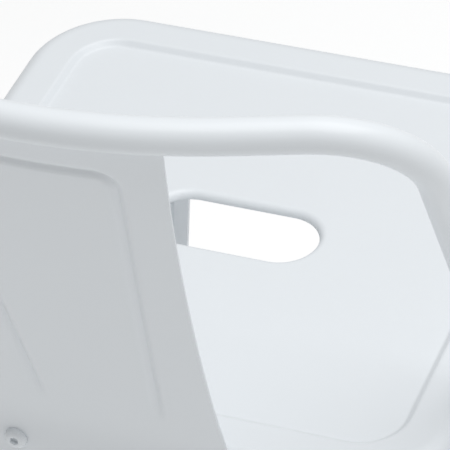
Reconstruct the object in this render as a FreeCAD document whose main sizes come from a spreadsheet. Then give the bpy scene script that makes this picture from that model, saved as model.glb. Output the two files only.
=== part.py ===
import FreeCAD, Part
import math
import os
import Sketcher
from FreeCAD import Placement, Rotation, Vector

# A counter-height stool of pressed sheet steel with a low tubular back.
#
# The frame: millimetres, +Z up, the floor at Z = 0 and the origin under the middle of the
# stool's whole length and width. The sitter faces -Y, so the back is at +Y, and the sitter's
# left is at +X. The hoop reaches further back than the feet, so the seat's centre lies a little
# ahead of the origin. Each piece is drawn about the seat's centre, then moved there.

doc = FreeCAD.newDocument("counter_stool")


# ---------------------------------------------------------------- driving dimensions

SIZES = [
    # seat
    ("seat_height", 610.0, "floor to the top of the seat rim"),
    ("seat_side", 306.0, "outside of the skirt, square"),
    ("seat_corner", 49.0, "corner radius of the skirt"),
    ("rim_radius", 10.0, "roll from the rim down to the skirt"),
    ("skirt_depth", 45.0, "rim top to the skirt's lower edge"),
    ("sheet", 1.5, "thickness of all pressed sheet"),
    ("panel_side", 254.0, "recessed panel, middle of its step"),
    ("panel_corner", 22.0, "corner radius of the panel's step"),
    ("panel_recess", 3.0, "depth of the panel below the rim"),
    ("step_blend", 2.5, "radius above and below the panel's step"),
    ("hole_length", 86.5, "hand hole, inside the lip"),
    ("hole_width", 37.0, "hand hole, inside the lip"),
    ("hole_forward", 4.5, "middle of the hand hole ahead of the seat's centre"),
    ("hole_lip", 4.5, "panel's face down to the lower edge of the hand hole's lip"),
    ("hole_roll", 4.0, "outer radius of that lip's bend"),
    # legs
    ("foot_half", 200.0, "centre line to a leg's outer face, carried down to the floor"),
    ("leg_corner", 22.0, "radius of a leg's outer corner at the floor"),
    ("leg_edge_top", 81.0, "centre line to a leg's inner edge at the skirt's lower edge"),
    ("leg_edge_foot", 157.0, "centre line to a leg's inner edge, carried down to the floor"),
    ("leg_hem", 9.0, "width of the hem folded flat along each leg edge"),
    ("leg_top_drop", 9.5, "rim top down to the top end of a leg"),
    ("nest_gap", 0.2, "gap between nested or stacked steel pieces, filled with coating or weld"),
    # rubber feet
    ("foot_sole", 5.0, "rubber under the end of a leg"),
    ("foot_height", 20.0, "height of a rubber foot"),
    ("foot_wall", 3.0, "rubber round the leg's sheet"),
    # foot rails
    ("rail_height", 215.0, "floor to the middle of a foot rail"),
    ("rail_face", 28.0, "height of a rail's face"),
    ("rail_depth", 11.0, "depth of a rail's channel"),
    ("rail_lap", 21.0, "length of each rail end that lies behind a leg's arm"),
    ("rail_bend", 4.0, "outer bend radius of the channel"),
    # brace under the seat
    ("brace_drop", 97.0, "rim top down to the top of the upper bar"),
    ("brace_width", 25.0, "width of a bar"),
    ("brace_thick", 3.0, "thickness of a bar"),
    ("brace_tab", 26.0, "height of the tab turned down at each end"),
    ("rivet_radius", 4.0, "shank of the rivet at the crossing"),
    ("rivet_head", 7.5, "radius of the rivet's head"),
    ("rivet_head_height", 3.0, "height of the rivet's head"),
    # back hoop
    ("tube_radius", 8.0, "outside radius of the hoop's tube"),
    ("tube_wall", 1.5, "wall of the hoop's tube"),
    ("hoop_height", 230.0, "rim top up to the hoop's centre line"),
    ("hoop_setback", 219.0, "seat centre back to the hoop's centre line"),
    ("hoop_plan_radius", 294.0, "curve of the hoop round the sitter's back"),
    ("hoop_plan_angle", 18.3, "half of the angle that this curve turns through, degrees"),
    ("hoop_bend", 52.0, "centre-line radius of the bend down to the side"),
    ("hoop_lean", 26.0, "lean of the hoop's sides from upright, degrees"),
    ("hoop_side_gap", 3.0, "gap between the tube and the seat's skirt"),
    ("lug_width", 23.0, "flattened end of the tube"),
    ("lug_thick", 3.2, "flattened end of the tube"),
    ("lug_taper", 24.0, "length over which the tube is pressed flat"),
    # splat
    ("splat_thick", 1.5, "thickness of the splat"),
    ("splat_foot_half", 62.0, "half width at the lower edge"),
    ("splat_waist_half", 56.8, "half width at the waist"),
    ("splat_top_half", 65.5, "half width under the hoop"),
    ("splat_waist_rise", 45.0, "rim top up to the waist"),
    ("splat_foot_drop", 31.0, "rim top down to the lower edge"),
    ("splat_foot_corner", 8.0, "radius of the lower corners"),
    # fasteners, M6
    ("bolt_spread", 48.5, "centre line to each splat bolt"),
    ("bolt_drop", 15.3, "rim top down to the bolts"),
    ("bolt_radius", 3.0, "shank"),
    ("bolt_clearance", 0.3, "radial clearance of the bolt holes"),
    ("head_radius", 5.6, "button head"),
    ("head_height", 3.3, "button head"),
    ("socket_flats", 4.0, "hexagon socket across flats"),
    ("socket_depth", 2.0, "hexagon socket"),
    ("washer_radius", 5.5, "flat washer"),
    ("washer_thick", 1.4, "flat washer"),
    ("nut_flats", 10.0, "hexagon nut across flats"),
    ("nut_height", 5.0, "hexagon nut"),
    ("bolt_end", 2.0, "shank showing past the nut"),
]

sizes = doc.addObject("Spreadsheet::Sheet", "sizes")
for row, (alias, number, meaning) in enumerate(SIZES, start=1):
    sizes.set("A%d" % row, alias)
    sizes.set("B%d" % row, str(number))
    sizes.set("C%d" % row, meaning)
    sizes.setAlias("B%d" % row, alias)
doc.recompute()


def cell(alias):
    """One driving dimension, as a plain number."""
    return float(sizes.get(alias))


def value(text):
    """The number that an expression on the sheet comes to."""
    return float(sizes.evalExpression(text.replace("sizes.", "")))


# ---------------------------------------------------------------- shared expressions

SKIRT_Z = "(sizes.seat_height - sizes.skirt_depth)"
SKIRT_HALF = "(sizes.seat_side / 2 - sizes.sheet - sizes.nest_gap)"
SKIRT_CORNER = "(sizes.seat_corner - sizes.sheet - sizes.nest_gap)"
LEG_TOP_Z = "(sizes.seat_height - sizes.leg_top_drop)"
HOOP_REACH = "(sizes.hoop_setback + sizes.tube_radius)"
FRONT_REACH = "(sizes.foot_half + sizes.foot_wall)"
SEAT_CENTRE_Y = "((%s - %s) / 2)" % (FRONT_REACH, HOOP_REACH)


def along_leg(at_floor, at_skirt, height):
    """A leg dimension that runs straight from the floor up to the skirt's lower edge."""
    return "(%s + (%s - %s) * (%s) / %s)" % (at_floor, at_skirt, at_floor, height, SKIRT_Z)


def leg_half(height):
    return along_leg("sizes.foot_half", SKIRT_HALF, height)


def leg_edge(height):
    return along_leg("sizes.leg_edge_foot", "sizes.leg_edge_top", height)


def leg_radius(height):
    return along_leg("sizes.leg_corner", SKIRT_CORNER, height)

# Each side of the hoop is a straight run that leans. Carried up, it meets the run from the
# hoop's back curve at a corner, which the hoop's bend rounds off.
HOOP_SIDE_X = "(sizes.seat_side / 2 + sizes.hoop_side_gap + sizes.tube_radius)"
HOOP_CORNER_Y = (
    "(sizes.hoop_setback - sizes.hoop_plan_radius * (1 - cos(sizes.hoop_plan_angle))"
    " - (" + HOOP_SIDE_X + " - sizes.hoop_plan_radius * sin(sizes.hoop_plan_angle))"
    " * tan(sizes.hoop_plan_angle))")
LUG_BOLT_Y = ("(" + HOOP_CORNER_Y
              + " - (sizes.hoop_height + sizes.bolt_drop) * tan(sizes.hoop_lean))")


# ---------------------------------------------------------------- sketch helpers

def origin_plane(body, role):
    return next(f for f in body.Origin.OriginFeatures if f.Role == role)


def about_seat(piece, angle=0):
    """Turn a piece drawn about the seat's centre, and move it to that centre."""
    piece.Placement = Placement(Vector(), Rotation(Vector(0, 0, 1), angle))
    piece.setExpression("Placement.Base.y", SEAT_CENTRE_Y)
    return piece


def new_body(label):
    body = doc.addObject("PartDesign::Body", label)
    body.Label = label
    return body


def new_sketch(body, name, plane="XY_Plane", offset=None, axis="z"):
    """A sketch on one of its body's own planes, moved along an axis by an expression."""
    sketch = body.newObject("Sketcher::SketchObject", name)
    sketch.AttachmentSupport = [(origin_plane(body, plane), "")]
    sketch.MapMode = "FlatFace"
    if offset is not None:
        sketch.setExpression("AttachmentOffset.Base." + axis, offset)
    return sketch


def outline(sketch, corners, bends=()):
    """A closed profile. Each corner is a pair of expressions for x and y.

    bends maps the number of a corner to (radius, centre x, centre y): the edge that leaves
    that corner is then an arc instead of a line.
    """
    bends = dict(bends)
    points = [Vector(value(x), value(y), 0) for x, y in corners]
    count = len(points)
    ends = []
    for i, start in enumerate(points):
        end = points[(i + 1) % count]
        if i not in bends:
            sketch.addGeometry(Part.LineSegment(start, end), False)
            ends.append((1, 2))
            continue
        # A sketch keeps its arcs anticlockwise, so a clockwise one is drawn from its far end.
        radius, cx, cy = [value(text) for text in bends[i]]
        centre = Vector(cx, cy, 0)
        middle = centre + ((start + end) * 0.5 - centre).normalize() * radius
        clockwise = (start - centre).cross(end - centre).z < 0
        first, last = (end, start) if clockwise else (start, end)
        sketch.addGeometry(Part.Arc(first, middle, last), False)
        ends.append((2, 1) if clockwise else (1, 2))
    for i in range(count):
        j = (i + 1) % count
        sketch.addConstraint(Sketcher.Constraint("Coincident", i, ends[i][1], j, ends[j][0]))
    for i, (x, y) in enumerate(corners):
        for kind, text, number in (("DistanceX", x, points[i].x), ("DistanceY", y, points[i].y)):
            index = sketch.addConstraint(
                Sketcher.Constraint(kind, -1, 1, i, ends[i][0], number))
            name = "p%d%s" % (i, kind[-1].lower())
            sketch.renameConstraint(index, name)
            sketch.setExpression("Constraints." + name, text)
    for i, (radius, cx, cy) in bends.items():
        index = sketch.addConstraint(Sketcher.Constraint("Radius", i, value(radius)))
        sketch.renameConstraint(index, "r%d" % i)
        sketch.setExpression("Constraints.r%d" % i, radius)
    return sketch


def rounded_rectangle(sketch, half_x, half_y, radius):
    """A rectangle round the origin, with its four corners rounded."""
    ix, iy = "(%s - %s)" % (half_x, radius), "(%s - %s)" % (half_y, radius)
    corners = [("-" + ix, "-" + half_y), (ix, "-" + half_y), (half_x, "-" + iy), (half_x, iy),
               (ix, half_y), ("-" + ix, half_y), ("-" + half_x, iy), ("-" + half_x, "-" + iy)]
    bends = {1: (radius, ix, "-" + iy), 3: (radius, ix, iy),
             5: (radius, "-" + ix, iy), 7: (radius, "-" + ix, "-" + iy)}
    return outline(sketch, corners, bends)


def edge_names(feature, wanted):
    """The names of a feature's edges for which wanted(edge) is true."""
    edges = feature.Shape.Edges
    return ["Edge%d" % (i + 1) for i, edge in enumerate(edges) if wanted(edge)]


def lies_at(edge, height):
    """True for an edge that lies in the level plane at this height."""
    box = edge.BoundBox
    return abs(box.ZMin - height) < 0.01 and abs(box.ZMax - height) < 0.01


def pad(body, name, sketch, length, reverse=False, midplane=False):
    feature = body.newObject("PartDesign::Pad", name)
    feature.Profile = sketch
    feature.Reversed = reverse
    feature.Midplane = midplane
    feature.setExpression("Length", length)
    doc.recompute()
    return feature


def pocket(body, name, sketch, length=None, reverse=False):
    """A pocket of a given depth, or through everything, checked to have cut something."""
    before = body.Shape.Volume
    feature = body.newObject("PartDesign::Pocket", name)
    feature.Profile = sketch
    feature.Reversed = reverse
    if length is None:
        feature.Type = "ThroughAll"
        feature.Midplane = True
    else:
        feature.setExpression("Length", length)
    doc.recompute()
    if feature.Shape.Volume > before - 0.1:
        raise RuntimeError(name + " cut nothing")
    return feature


def fillet(body, name, base, edges, radius):
    feature = body.newObject("PartDesign::Fillet", name)
    feature.Base = (base, edges)
    feature.setExpression("Radius", radius)
    doc.recompute()
    return feature


def circle(sketch, x, y, radius):
    """A round hole or boss, its centre and radius given as expressions."""
    index = sketch.addGeometry(
        Part.Circle(Vector(value(x), value(y), 0), Vector(0, 0, 1), value(radius)), False)
    for kind, text in (("DistanceX", x), ("DistanceY", y)):
        place = sketch.addConstraint(Sketcher.Constraint(kind, -1, 1, index, 3, value(text)))
        sketch.setExpression("Constraints[%d]" % place, text)
    place = sketch.addConstraint(Sketcher.Constraint("Radius", index, value(radius)))
    sketch.setExpression("Constraints[%d]" % place, radius)
    return index


# ---------------------------------------------------------------- seat pan

# The pan is drawn with the top of its rim at the body's own Z = 0.

HOLE_STRAIGHT = "(sizes.hole_length / 2 - sizes.hole_width / 2)"


def slot_outline(sketch, grow):
    """The hand hole's outline, grown by an expression: straight sides and round ends."""
    half_x = "(sizes.hole_length / 2 + %s)" % grow
    half_y = "(sizes.hole_width / 2 + %s)" % grow
    reach, middle = HOLE_STRAIGHT, "-sizes.hole_forward"
    front, back = "(%s - %s)" % (middle, half_y), "(%s + %s)" % (middle, half_y)
    corners = [("-" + reach, front), (reach, front), (half_x, middle),
               (reach, back), ("-" + reach, back), ("-" + half_x, middle)]
    bends = {1: (half_y, reach, middle), 2: (half_y, reach, middle),
             4: (half_y, "-" + reach, middle), 5: (half_y, "-" + reach, middle)}
    return outline(sketch, corners, bends)


def make_seat_pan():
    body = new_body("seat_pan")
    side = "(sizes.seat_side / 2)"
    square = rounded_rectangle(new_sketch(body, "pan_outline"), side, side, "sizes.seat_corner")
    blank = pad(body, "pan_blank", square, "sizes.skirt_depth", reverse=True)
    rim = fillet(body, "pan_rim", blank,
                 edge_names(blank, lambda e: lies_at(e, 0)), "sizes.rim_radius")

    # The panel's step slopes at 45 degrees, so its upper edge is half a recess further out.
    panel = "(sizes.panel_side / 2 + sizes.panel_recess / 2)"
    panel_radius = "(sizes.panel_corner + sizes.panel_recess / 2)"
    square = rounded_rectangle(new_sketch(body, "panel_outline"), panel, panel, panel_radius)
    recess = pocket(body, "panel_recess_cut", square, "sizes.panel_recess")
    recess.TaperAngle = -45
    doc.recompute()
    panel_half = value(panel)
    step = fillet(body, "panel_step", recess, edge_names(
        recess, lambda e: e.BoundBox.ZMin > -cell("panel_recess") - 0.01
        and max(abs(e.BoundBox.XMax), abs(e.BoundBox.YMax)) < panel_half + 0.1
        and e.BoundBox.ZLength < 0.01), "sizes.step_blend")

    # Pressed from one sheet: the solid is hollowed from below to an even thickness.
    shell = body.newObject("PartDesign::Thickness", "pan_sheet")
    bottom = max(range(len(step.Shape.Faces)),
                 key=lambda i: -step.Shape.Faces[i].CenterOfMass.z)
    shell.Base = (step, ["Face%d" % (bottom + 1)])
    shell.setExpression("Value", "sizes.sheet")
    shell.Reversed = True
    shell.Join = 0
    doc.recompute()

    # The hand hole's lip turns down round the hole.
    lip_top = "-(sizes.panel_recess + sizes.sheet / 2)"
    ring = slot_outline(new_sketch(body, "lip_outline", offset=lip_top), "sizes.sheet")
    boss = pad(body, "lip_boss", ring,
               "(sizes.hole_lip - sizes.sheet / 2)", reverse=True)
    under = value("-(sizes.panel_recess + sizes.sheet)")
    root = fillet(body, "lip_root", boss, edge_names(
        boss, lambda e: lies_at(e, under)
        and max(abs(e.BoundBox.XMax), abs(e.BoundBox.XMin)) < cell("hole_length")
        and max(abs(e.BoundBox.YMax), abs(e.BoundBox.YMin)) < cell("hole_width")),
        "(sizes.hole_roll - sizes.sheet)")
    hole = pocket(body, "hand_hole", slot_outline(new_sketch(body, "hole_outline"), "0"))
    face = value("-sizes.panel_recess")
    fillet(body, "lip_roll", hole, edge_names(
        hole, lambda e: lies_at(e, face)
        and max(abs(e.BoundBox.XMax), abs(e.BoundBox.XMin)) < cell("hole_length")
        and max(abs(e.BoundBox.YMax), abs(e.BoundBox.YMin)) < cell("hole_width")),
        "sizes.hole_roll")

    # Bolt holes: two through the back of the skirt, one through each side of it.
    hole_radius = "(sizes.bolt_radius + sizes.bolt_clearance)"
    drilled = new_sketch(body, "back_bolt_holes", "XZ_Plane", "-" + side)
    for sign in ("-", ""):
        circle(drilled, sign + "sizes.bolt_spread", "-sizes.bolt_drop", hole_radius)
    back = body.newObject("PartDesign::Pocket", "back_bolt_cut")
    back.Profile = drilled
    back.setExpression("Length", "(sizes.rim_radius + sizes.sheet)")
    back.Midplane = True
    doc.recompute()
    drilled = new_sketch(body, "side_bolt_holes", "YZ_Plane")
    circle(drilled, LUG_BOLT_Y, "-sizes.bolt_drop", hole_radius)
    pocket(body, "side_bolt_cut", drilled)
    body.setExpression("Placement.Base.z", "sizes.seat_height")
    return about_seat(body)


# ---------------------------------------------------------------- legs and feet

# The four legs are alike. Each is drawn at the rear left corner and turned about the Z axis.
CORNERS = [("rear_left", 0), ("rear_right", 90), ("front_right", 180), ("front_left", 270)]


def leg_section(sketch, height, grow="0"):
    """A leg's section at a height: two arms joined by a round corner, their edges hemmed.

    grow thickens the section evenly on every side.
    """
    out = "(%s + %s)" % (leg_half(height), grow)
    edge = "(%s - %s)" % (leg_edge(height), grow)
    thick = "(sizes.sheet + 2 * %s)" % grow
    doubled = "(2 * sizes.sheet + 2 * %s)" % grow
    radius = "(%s + %s)" % (leg_radius(height), grow)
    centre = "(%s - %s)" % (out, radius)
    inside = "(%s - %s)" % (out, thick)
    hem = "(%s + sizes.leg_hem + 2 * %s)" % (edge, grow)
    fold = "(%s - %s)" % (out, doubled)
    corners = [(edge, out), (centre, out), (out, centre), (out, edge), (fold, edge), (fold, hem),
               (inside, hem), (inside, centre), (centre, inside), (hem, inside),
               (hem, fold), (edge, fold)]
    bends = {1: (radius, centre, centre), 7: ("(%s - %s)" % (radius, thick), centre, centre)}
    return outline(sketch, corners, bends)


def loft(body, kind, name, sections):
    feature = body.newObject("PartDesign::" + kind, name)
    feature.Profile = sections[0]
    feature.Sections = sections[1:]
    feature.Ruled = True
    doc.recompute()
    return feature


def make_leg(corner, angle):
    body = new_body("leg_" + corner)
    sections = []
    for name, height in (("end", "sizes.foot_sole"), ("skirt", SKIRT_Z), ("top", LEG_TOP_Z)):
        sketch = new_sketch(body, "leg_%s_%s" % (name, corner), offset=height)
        sections.append(leg_section(sketch, height))
    loft(body, "AdditiveLoft", "leg_sheet_" + corner, sections)
    return about_seat(body, angle)


def make_foot(corner, angle):
    """A rubber boot: it wraps the end of the leg's sheet, which stands on its sole."""
    body = new_body("foot_" + corner)
    for kind, grow, heights in (
            ("AdditiveLoft", "sizes.foot_wall", ("0", "sizes.foot_height")),
            ("SubtractiveLoft", "sizes.nest_gap",
             ("sizes.foot_sole", "(sizes.foot_height + sizes.foot_sole)"))):
        sections = []
        for place, height in enumerate(heights):
            name = "foot_%s_%d_%s" % (kind[:3].lower(), place, corner)
            sketch = new_sketch(body, name, offset=height)
            sections.append(leg_section(sketch, height, grow))
        loft(body, kind, "foot_%s_%s" % (kind[:3].lower(), corner), sections)
    return about_seat(body, angle)


# ---------------------------------------------------------------- foot rails

SIDES = [("rear", 0), ("right", 90), ("front", 180), ("left", 270)]
RAIL_TOP = "(sizes.rail_height + sizes.rail_face / 2)"
RAIL_BOTTOM = "(sizes.rail_height - sizes.rail_face / 2)"


def runs_along_x(edge, y, z):
    box = edge.BoundBox
    return (abs(box.YMin - y) < 0.05 and abs(box.YMax - y) < 0.05
            and abs(box.ZMin - z) < 0.05 and abs(box.ZMax - z) < 0.05)


def make_rail(side, angle):
    """A channel between two legs, its ends welded behind the hems of their arms."""
    body = new_body("rail_" + side)

    def face(height):
        return "(%s - 2 * sizes.sheet - sizes.nest_gap)" % leg_half(height)

    top, bottom = face(RAIL_TOP), face(RAIL_BOTTOM)
    under, over = "(%s - sizes.sheet)" % RAIL_TOP, "(%s + sizes.sheet)" % RAIL_BOTTOM
    section = [(bottom, RAIL_BOTTOM), (top, RAIL_TOP), (top + " - sizes.rail_depth", RAIL_TOP),
               (top + " - sizes.rail_depth", under), (top + " - sizes.sheet", under),
               (bottom + " - sizes.sheet", over), (bottom + " - sizes.rail_depth", over),
               (bottom + " - sizes.rail_depth", RAIL_BOTTOM)]
    section = outline(new_sketch(body, "rail_section_" + side, "YZ_Plane"), section)
    bar = pad(body, "rail_channel_" + side, section,
              "(2 * (%s + sizes.rail_lap))" % leg_edge("sizes.rail_height"), midplane=True)
    for name, depth, radius in (("outer", "0", "sizes.rail_bend"),
                                ("inner", "sizes.sheet", "(sizes.rail_bend - sizes.sheet)")):
        bar = fillet(body, "rail_%s_bend_%s" % (name, side), bar, edge_names(
            bar, lambda e: runs_along_x(e, value(top + " - " + depth),
                                        value(RAIL_TOP + " - " + depth))
            or runs_along_x(e, value(bottom + " - " + depth),
                            value(RAIL_BOTTOM + " + " + depth))), radius)
    return about_seat(body, angle)


# ---------------------------------------------------------------- brace

BRACE_TOP = "(sizes.seat_height - sizes.brace_drop)"


def corner_reach(height):
    """Centre line to the face of a flat tab laid in the hollow of a leg's corner."""
    inside = "(%s - sizes.sheet)" % leg_radius(height)
    return ("((%s - %s) * sqrt(2) + sqrt(%s * %s - sizes.brace_width * sizes.brace_width / 4)"
            " - sizes.nest_gap)" % (leg_half(height), leg_radius(height), inside, inside))


def make_brace_bar(name, top, angle):
    """A flat bar across two opposite legs, with a tab turned down at each end."""
    body = new_body(name)
    under, low = "(%s - sizes.brace_thick)" % top, "(%s - sizes.brace_tab)" % top
    right = [(corner_reach(top), top), (corner_reach(low), low),
             (corner_reach(low) + " - sizes.brace_thick", low),
             (corner_reach(under) + " - sizes.brace_thick", under)]
    left = [("-(%s)" % x, z) for x, z in reversed(right)]
    section = outline(new_sketch(body, name + "_section", "XZ_Plane"), right + left)
    bar = pad(body, name + "_strip", section, "sizes.brace_width", midplane=True)
    for label, height, x, radius in (
            ("outer", top, corner_reach(top), "1.5 * sizes.brace_thick"),
            ("inner", under, corner_reach(under) + " - sizes.brace_thick",
             "0.5 * sizes.brace_thick")):
        bar = fillet(body, "%s_%s_bend" % (name, label), bar, edge_names(
            bar, lambda e: lies_at(e, value(height)) and e.BoundBox.XLength < 0.01
            and abs(abs(e.BoundBox.XMin) - value(x)) < 0.05), radius)
    hole = new_sketch(body, name + "_rivet_outline", offset=top)
    circle(hole, "0", "0", "sizes.rivet_radius")
    pocket(body, name + "_rivet_hole", hole)
    return about_seat(body, angle)


def revolve(body, name, sketch):
    feature = body.newObject("PartDesign::Revolution", name)
    feature.Profile = sketch
    feature.ReferenceAxis = (sketch, ["V_Axis"])
    feature.Angle = 360
    doc.recompute()
    return feature


def make_brace_rivet():
    """A domed rivet that holds the two bars together where they cross."""
    body = new_body("brace_rivet")
    top, low = BRACE_TOP, "(%s - 2 * sizes.brace_thick)" % BRACE_TOP
    high, deep = top + " + sizes.rivet_head_height", low + " - sizes.rivet_head_height"
    dome = ("((sizes.rivet_head * sizes.rivet_head + sizes.rivet_head_height"
            " * sizes.rivet_head_height) / (2 * sizes.rivet_head_height))")
    section = [("0", deep), ("sizes.rivet_head", low), ("sizes.rivet_radius", low),
               ("sizes.rivet_radius", top), ("sizes.rivet_head", top), ("0", high)]
    bends = {0: (dome, "0", "%s + %s" % (deep, dome)), 4: (dome, "0", "%s - %s" % (high, dome))}
    sketch = outline(new_sketch(body, "rivet_section", "XZ_Plane"), section, bends)
    revolve(body, "rivet_solid", sketch)
    return about_seat(body)


# ---------------------------------------------------------------- back hoop

# The round tube ends this far above the rim, and tapers to the lug below that.
TUBE_END_RISE = cell("lug_taper") - cell("lug_width") / 2 + cell("tube_wall")


def rim_level(rise):
    """The height above the floor of a level given from the top of the seat's rim."""
    return cell("seat_height") + rise


def hoop_side(sign):
    """The corner and direction of one side of the hoop: sign is 1 for the sitter's left."""
    corner = Vector(sign * value(HOOP_SIDE_X), value(HOOP_CORNER_Y),
                    rim_level(cell("hoop_height")))
    lean = math.radians(cell("hoop_lean"))
    return corner, Vector(0, -math.sin(lean), -math.cos(lean))


def hoop_half(sign):
    """One half of the hoop's centre line, from the middle of the back to the lug's taper."""
    angle = math.radians(cell("hoop_plan_angle"))
    radius, bend = cell("hoop_plan_radius"), cell("hoop_bend")
    height = rim_level(cell("hoop_height"))
    hub = Vector(0, cell("hoop_setback") - radius, height)

    def on_curve(part):
        turn = part * angle
        return hub + Vector(sign * radius * math.sin(turn), radius * math.cos(turn), 0)

    corner, down = hoop_side(sign)
    across = Vector(sign * math.cos(angle), -math.sin(angle), 0)
    turn = math.acos(across.dot(down))
    cut = bend * math.tan(turn / 2)
    start, end = corner - across * cut, corner + down * cut
    middle = (start + end) * 0.5
    centre = corner + (middle - corner) * (1 / math.sin(turn / 2) ** 2)
    crown = centre + (corner - centre).normalize() * bend
    lug_start = corner + down * ((corner.z - rim_level(TUBE_END_RISE)) / -down.z)
    return [Part.Arc(on_curve(0), on_curve(0.5), on_curve(1)).toShape(),
            Part.LineSegment(on_curve(1), start).toShape(),
            Part.Arc(start, crown, end).toShape(),
            Part.LineSegment(end, lug_start).toShape()]


def sweep_circle(path, radius):
    edge = path.Edges[0]
    start = edge.valueAt(edge.FirstParameter)
    along = edge.tangentAt(edge.FirstParameter)
    ring = Part.Wire(Part.makeCircle(radius, start, along))
    return Part.Wire(path.Edges).makePipeShell([ring], True, False)


def hoop_tubes():
    """The hoop's two halves as solid rods: of the tube's outside, and of its bore."""
    rods = []
    for radius in (cell("tube_radius"), cell("tube_radius") - cell("tube_wall")):
        halves = [sweep_circle(Part.Wire(hoop_half(sign)), radius) for sign in (1, -1)]
        rods.append(halves[0].fuse(halves[1]))
    return rods


def oval(centre, along, half_width, half_thick):
    """A closed section across a lug: two flat sides joined by bowed ends.

    It has the same four stretches from a round tube to a flat strip, so they loft cleanly.
    """
    wide = Vector(0, 1, 0).cross(along).cross(along).normalize() * -1
    thick = wide.cross(along).normalize()
    flat = half_width - half_thick
    diagonal = half_thick * math.sqrt(0.5)

    def point(a, b):
        return centre + wide * a + thick * b

    right = (flat, half_thick) if flat > 0 else (diagonal, diagonal)
    corners = [(right[0], right[1]), (-right[0], right[1]),
               (-right[0], -right[1]), (right[0], -right[1])]
    middles = [(0, half_thick), (-half_width, 0), (0, -half_thick), (half_width, 0)]
    edges = []
    for i, (a, b) in enumerate(corners):
        first, last = point(a, b), point(*corners[(i + 1) % 4])
        if flat > 0 and i in (0, 2):
            edges.append(Part.LineSegment(first, last).toShape())
        else:
            edges.append(Part.Arc(first, point(*middles[i]), last).toShape())
    return Part.Wire(edges)


def make_lug(sign):
    """The end of the tube, pressed flat against the skirt and drilled for its bolt."""
    corner, down = hoop_side(sign)
    tube, half_wide = cell("tube_radius"), cell("lug_width") / 2
    half_thick = cell("lug_thick") / 2
    start = corner + down * ((corner.z - rim_level(TUBE_END_RISE)) / -down.z)
    bolt = corner + down * ((corner.z - rim_level(-cell("bolt_drop"))) / -down.z)
    inward = value(HOOP_SIDE_X) - (cell("seat_side") / 2 + cell("nest_gap") + half_thick)
    aside = Vector(-sign * inward, 0, 0)
    flat_from = start + down * cell("lug_taper") + aside
    flat_to = bolt + aside
    taper = Part.makeLoft([oval(start, down, tube, tube),
                           oval(flat_from, down, half_wide, half_thick)], True, True)
    strip = Part.makeLoft([oval(flat_from, down, half_wide, half_thick),
                           oval(flat_to, down, half_wide, half_thick)], True, True)
    out = Vector(sign, 0, 0)
    end = Part.makeCylinder(half_wide, 2 * half_thick, flat_to - out * half_thick, out)
    hole = Part.makeCylinder(cell("bolt_radius") + cell("bolt_clearance"), 4 * half_thick,
                             flat_to - out * 2 * half_thick, out)
    return taper.fuse([strip, end]).cut(hole)


def make_back_hoop(rods):
    outside, bore = rods
    shape = outside.cut(bore).fuse([make_lug(1), make_lug(-1)]).removeSplitter()
    feature = doc.addObject("Part::Feature", "back_hoop")
    feature.Label = "back_hoop"
    feature.Shape = shape
    return about_seat(feature)


# ---------------------------------------------------------------- splat

def splat_half_width(rise):
    """Half of the splat's width at a height above the rim: narrowest at the waist."""
    waist, waist_rise = cell("splat_waist_half"), cell("splat_waist_rise")
    if rise > waist_rise:
        end, end_rise = cell("splat_top_half"), cell("hoop_height") - cell("tube_radius")
    else:
        end, end_rise = cell("splat_foot_half"), -cell("splat_foot_drop")
    return waist + (end - waist) * ((rise - waist_rise) / (end_rise - waist_rise)) ** 2


def splat_section(rise):
    """The splat's section at a height: a strip that bows more towards the hoop."""
    inner_foot = cell("seat_side") / 2 + cell("nest_gap")
    top = cell("hoop_height")
    up = max(rise, 0) / top
    lean = cell("hoop_setback") - cell("splat_thick") / 2 - inner_foot
    half, thick = splat_half_width(rise), cell("splat_thick")
    bow = half ** 2 / (2 * cell("hoop_plan_radius")) * up
    y, z = inner_foot + lean * up, rim_level(rise)

    def strip_edge(offset, left, right):
        # A quadratic curve through both ends whose middle stands proud of them by the bow.
        curve = Part.BezierCurve()
        curve.setPoles([Vector(left, y + offset - bow, z), Vector(0, y + offset + bow, z),
                        Vector(right, y + offset - bow, z)])
        return curve.toShape()

    near, far = strip_edge(0, -half, half), strip_edge(thick, half, -half)
    sides = [Part.LineSegment(Vector(half, y - bow, z), Vector(half, y + thick - bow, z)),
             Part.LineSegment(Vector(-half, y + thick - bow, z), Vector(-half, y - bow, z))]
    return Part.Wire([near, sides[0].toShape(), far, sides[1].toShape()])


def make_back_splat(tube):
    """A pressed sheet: bolted upright to the skirt, leaning back above it to the tube."""
    top, foot = cell("hoop_height"), -cell("splat_foot_drop")
    blade_steps, drill_run_out = 4, 1.0
    rises = [top * part / blade_steps for part in range(blade_steps + 1)]
    blade = Part.makeLoft([splat_section(rise) for rise in rises], True, False)
    tab = Part.makeLoft([splat_section(foot * part / 2) for part in (2, 1, 0)], True, False)
    corners = [e for e in tab.Edges if e.BoundBox.XLength < 0.01 and e.BoundBox.ZLength < 0.01
               and abs(e.BoundBox.ZMin - rim_level(foot)) < 0.01]
    tab = tab.makeFillet(cell("splat_foot_corner"), corners)
    shape = blade.fuse(tab).cut(tube)
    shape = max(shape.Solids, key=lambda solid: solid.Volume)
    for side in (-1, 1):
        centre = Vector(side * cell("bolt_spread"), cell("seat_side") / 2 - drill_run_out,
                        rim_level(-cell("bolt_drop")))
        shape = shape.cut(Part.makeCylinder(
            cell("bolt_radius") + cell("bolt_clearance"),
            cell("splat_thick") + cell("nest_gap") + 2 * drill_run_out,
            centre, Vector(0, 1, 0)))
    feature = doc.addObject("Part::Feature", "back_splat")
    feature.Label = "back_splat"
    feature.Shape = shape
    return about_seat(feature)


# ---------------------------------------------------------------- fasteners

def ring(body, name, outer, thick):
    """A washer or nut blank round the shank: outer is a radius, or flats for a hexagon."""
    sketch = new_sketch(body, name + "_outline")
    outer(sketch)
    circle(sketch, "0", "0", "sizes.bolt_radius")
    return pad(body, name + "_ring", sketch, thick)


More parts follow.
